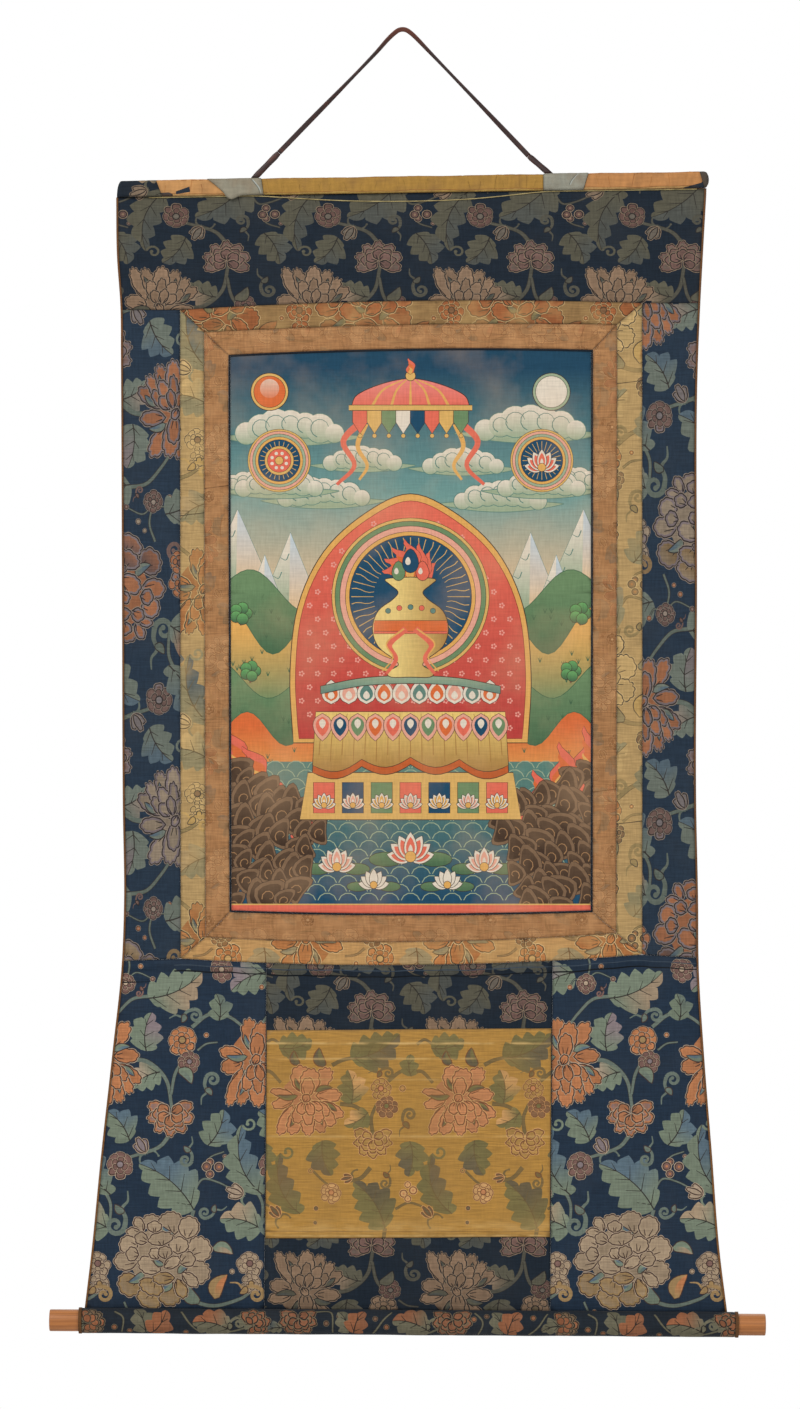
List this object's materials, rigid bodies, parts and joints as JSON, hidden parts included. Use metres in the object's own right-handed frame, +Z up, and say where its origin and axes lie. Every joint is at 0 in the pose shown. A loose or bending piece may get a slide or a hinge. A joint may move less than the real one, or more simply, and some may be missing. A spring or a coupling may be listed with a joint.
{
  "type": "hanging scroll painting with stave and roller",
  "caption": "Painted cotton panel in mitred silk borders on a flared brocade mount, with a wrapped stave and strap to hang it and a round wooden roller at its foot.",
  "frame": {"origin": "point under the top bend of the strap, where a wall hook carries the scroll", "axes": "+Z up, +X to the viewer's right, +Y away from the viewer towards the wall; the painted face looks along -Y"},
  "size_m": [0.8937, 0.033, 1.6367],
  "materials": {
    "painted_cotton": "matte paint on cotton",
    "navy_brocade": "patterned silk weave",
    "gold_brocade": "patterned silk weave",
    "copper_silk": "tone-on-tone silk weave",
    "dark_piping": "matte tape",
    "brown_binding": "matte tape",
    "door_brocade": "lustrous patterned silk weave",
    "yellow_silk": "worn silk",
    "orange_silk": "worn silk",
    "grey_silk": "worn silk",
    "pine": "oiled and handled",
    "strap_leather": "worn",
    "tie_string": "twisted thread"
  },
  "bodies": {
    "root": {"painting": "painted_cotton", "piping_top": "dark_piping", "copper_border_top": "copper_silk", "gold_border_top": "gold_brocade", "piping_bottom": "dark_piping", "copper_border_bottom": "copper_silk", "gold_border_bottom": "gold_brocade", "piping_left": "dark_piping", "copper_border_left": "copper_silk", "gold_border_left": "gold_brocade", "piping_right": "dark_piping", "copper_border_right": "copper_silk", "gold_border_right": "gold_brocade", "head_panel": "navy_brocade", "side_panel_left": "navy_brocade", "side_panel_right": "navy_brocade", "foot_panel_left": "navy_brocade", "foot_panel_centre": "navy_brocade", "foot_panel_right": "navy_brocade", "stave_end_left": "navy_brocade", "roller_sleeve": "navy_brocade", "door_patch": "door_brocade", "binding_left": "brown_binding", "sleeve_binding_left": "brown_binding", "patch_grey_left": "grey_silk", "wrap_orange_left": "orange_silk", "strap_whipping_left": "strap_leather", "binding_right": "brown_binding", "sleeve_binding_right": "brown_binding", "patch_grey_right": "grey_silk", "wrap_orange_right": "orange_silk", "strap_whipping_right": "strap_leather", "wrap_yellow": "yellow_silk", "stave_end_right": "brown_binding", "roller_rod": "pine", "hanging_strap": "strap_leather", "tie_string": "tie_string"}
  },
  "joints": []
}
